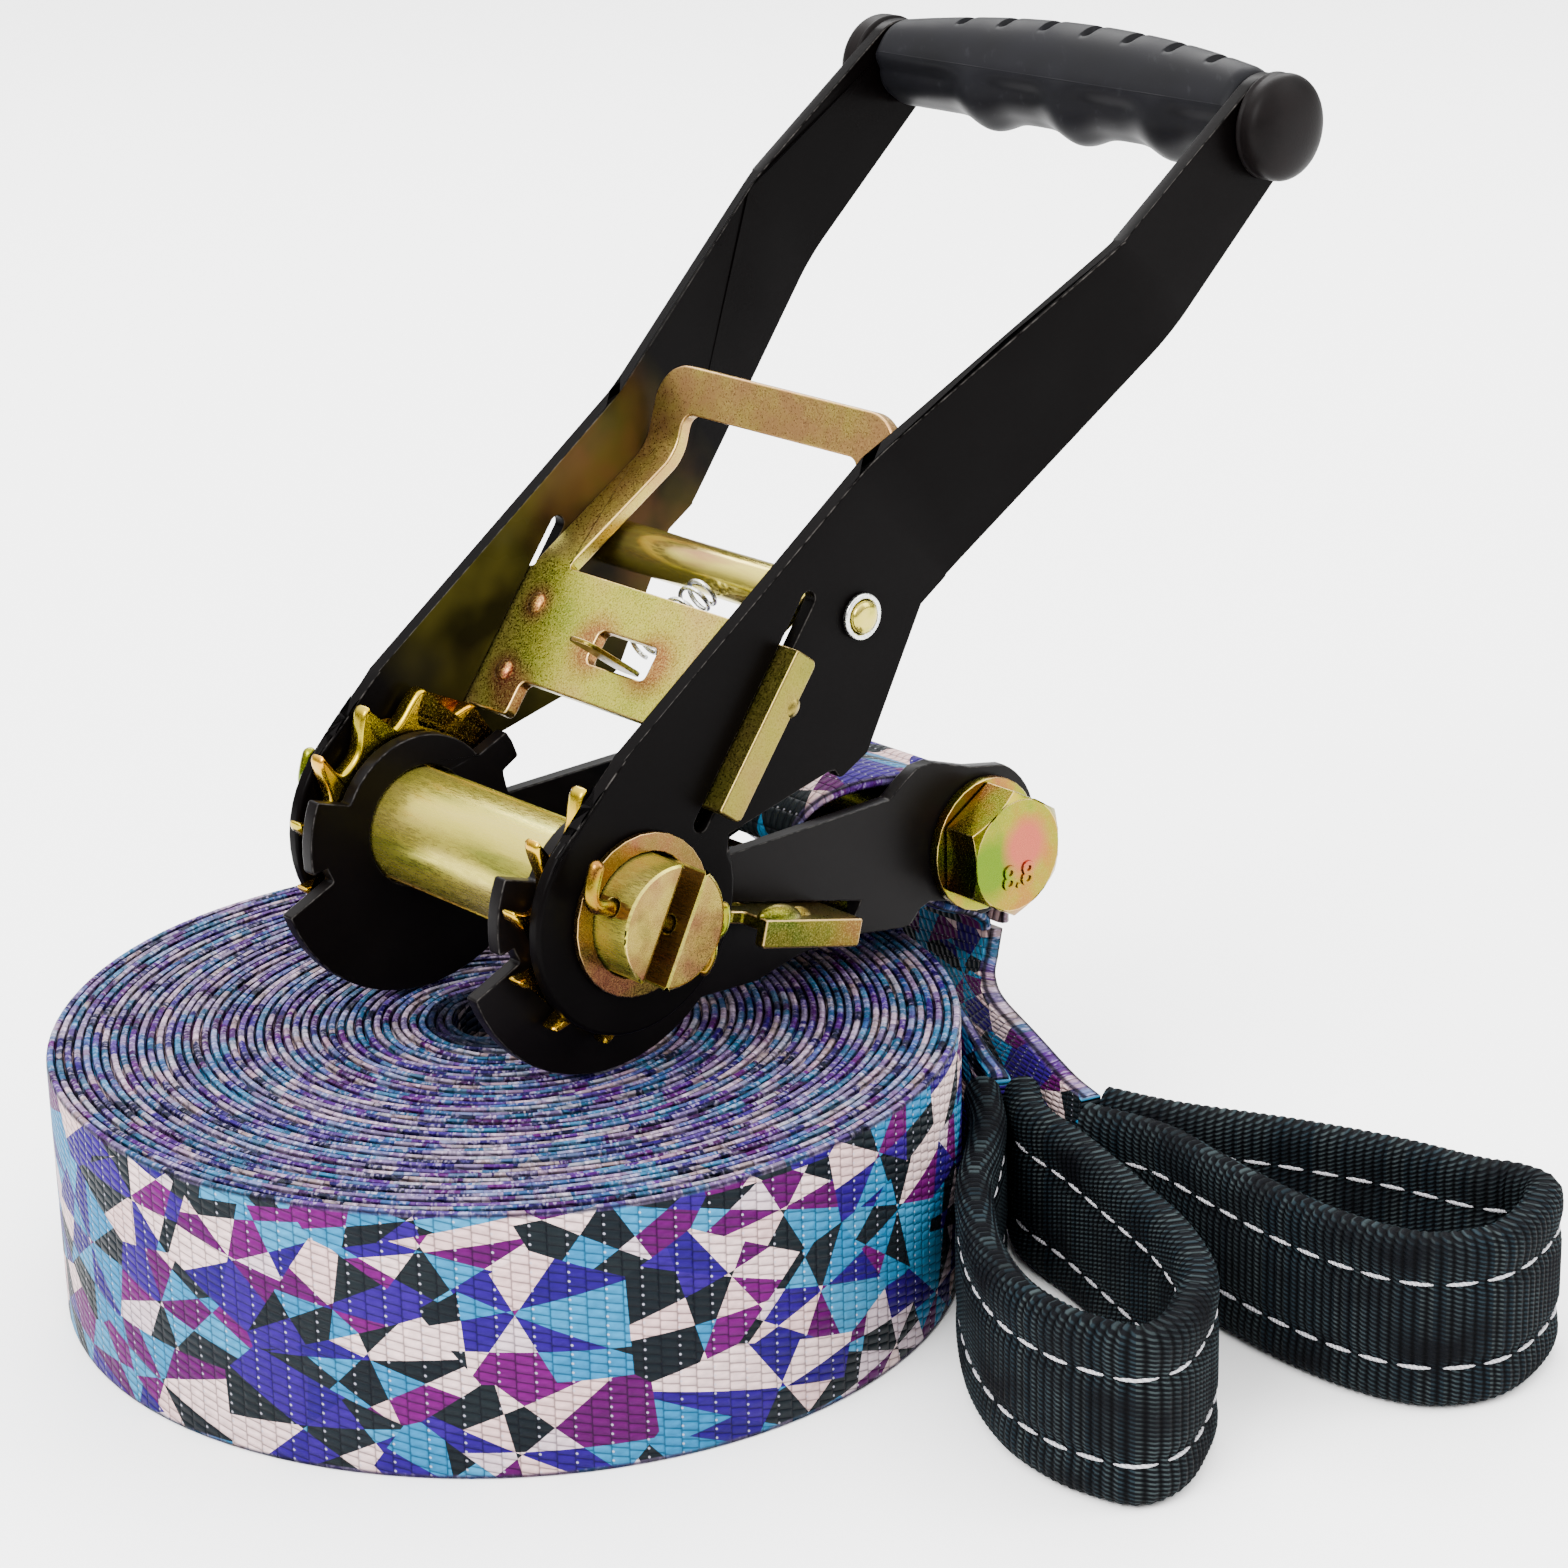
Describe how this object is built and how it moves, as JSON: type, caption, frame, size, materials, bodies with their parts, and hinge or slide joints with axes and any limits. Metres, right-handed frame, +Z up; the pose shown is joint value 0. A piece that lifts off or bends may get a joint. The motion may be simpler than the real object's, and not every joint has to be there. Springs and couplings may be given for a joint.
{
  "type": "slackline kit with ratchet tensioner",
  "caption": "Coiled flat webbing line with a sleeved end loop, and a long-handled ratchet on its own short sleeved anchor strap.",
  "frame": {"origin": "under the middle of the kit's outer box, on the surface that it stands on", "axes": "+Z up, +X to the picture's right along the kit's longest side, +Y away from the picture's viewer"},
  "size_m": [0.2716, 0.2392, 0.2128],
  "materials": {
    "printed_webbing": "woven polyester webbing with a printed mosaic in white, sky blue, violet, magenta and charcoal",
    "loop_sleeve": "ribbed black woven sleeve with white running stitches",
    "black_steel": "black powder coat, soft sheen",
    "plated_steel": "yellow zinc plating with green and pink iridescence",
    "bright_steel": "bright zinc plating",
    "grip_plastic": "charcoal moulded grip",
    "cap_rubber": "black rubber"
  },
  "bodies": {
    "base": {"main_line_coil": "printed_webbing", "main_line_tail": "printed_webbing", "main_line_loop_sleeve": "loop_sleeve", "anchor_strap_wrap": "printed_webbing", "anchor_strap": "printed_webbing", "anchor_strap_loop_sleeve": "loop_sleeve", "base_plate_front": "black_steel", "base_plate_back": "black_steel", "anchor_bolt": "plated_steel", "anchor_nut": "plated_steel", "anchor_washer_front": "plated_steel", "anchor_washer_back": "plated_steel", "anchor_spacer_tube": "plated_steel", "lock_spring_stay": "plated_steel"},
    "handle": {"handle_plate_front": "black_steel", "handle_plate_back": "black_steel", "grip": "grip_plastic", "grip_rod": "bright_steel", "grip_cap_front": "cap_rubber", "grip_cap_back": "cap_rubber", "cross_rod": "plated_steel", "rivet_ring_front": "bright_steel", "rivet_ring_back": "bright_steel"},
    "spindle": {"spindle_half_upper": "plated_steel", "spindle_half_lower": "plated_steel", "ratchet_wheel_front": "plated_steel", "ratchet_wheel_back": "plated_steel", "cotter_pin_front": "plated_steel", "cotter_pin_back": "plated_steel", "spindle_washer_front": "plated_steel", "spindle_washer_back": "plated_steel"},
    "drive_pawl": {"drive_pawl": "plated_steel", "spring_guide": "bright_steel", "drive_pawl_spring": "bright_steel"},
    "lock_pawl": {"lock_pawl": "plated_steel", "lock_pawl_spring": "bright_steel"}
  },
  "joints": [
    {"name": "handle_swing", "type": "hinge", "parent": "base", "child": "handle", "pos_m": [-0.04995, -0.02446, 0.0823], "axis": [0.6613, -0.7501, 0], "range_deg": [-30, 150]},
    {"name": "spindle_spin", "type": "hinge", "parent": "base", "child": "spindle", "pos_m": [-0.04995, -0.02446, 0.0823], "axis": [0.6613, -0.7501, 0], "continuous": true},
    {"name": "drive_pawl_slide", "type": "slide", "parent": "handle", "child": "drive_pawl", "axis": [0.4514, 0.398, 0.7986], "range_m": [-0.0035, 0.01], "stiffness_N_per_m": 2500, "deforming": ["drive_pawl_spring"]},
    {"name": "lock_pawl_slide", "type": "slide", "parent": "base", "child": "lock_pawl", "axis": [0.7246, 0.6388, -0.2588], "range_m": [-0.0035, 0.009], "stiffness_N_per_m": 2500, "deforming": ["lock_pawl_spring"]}
  ]
}
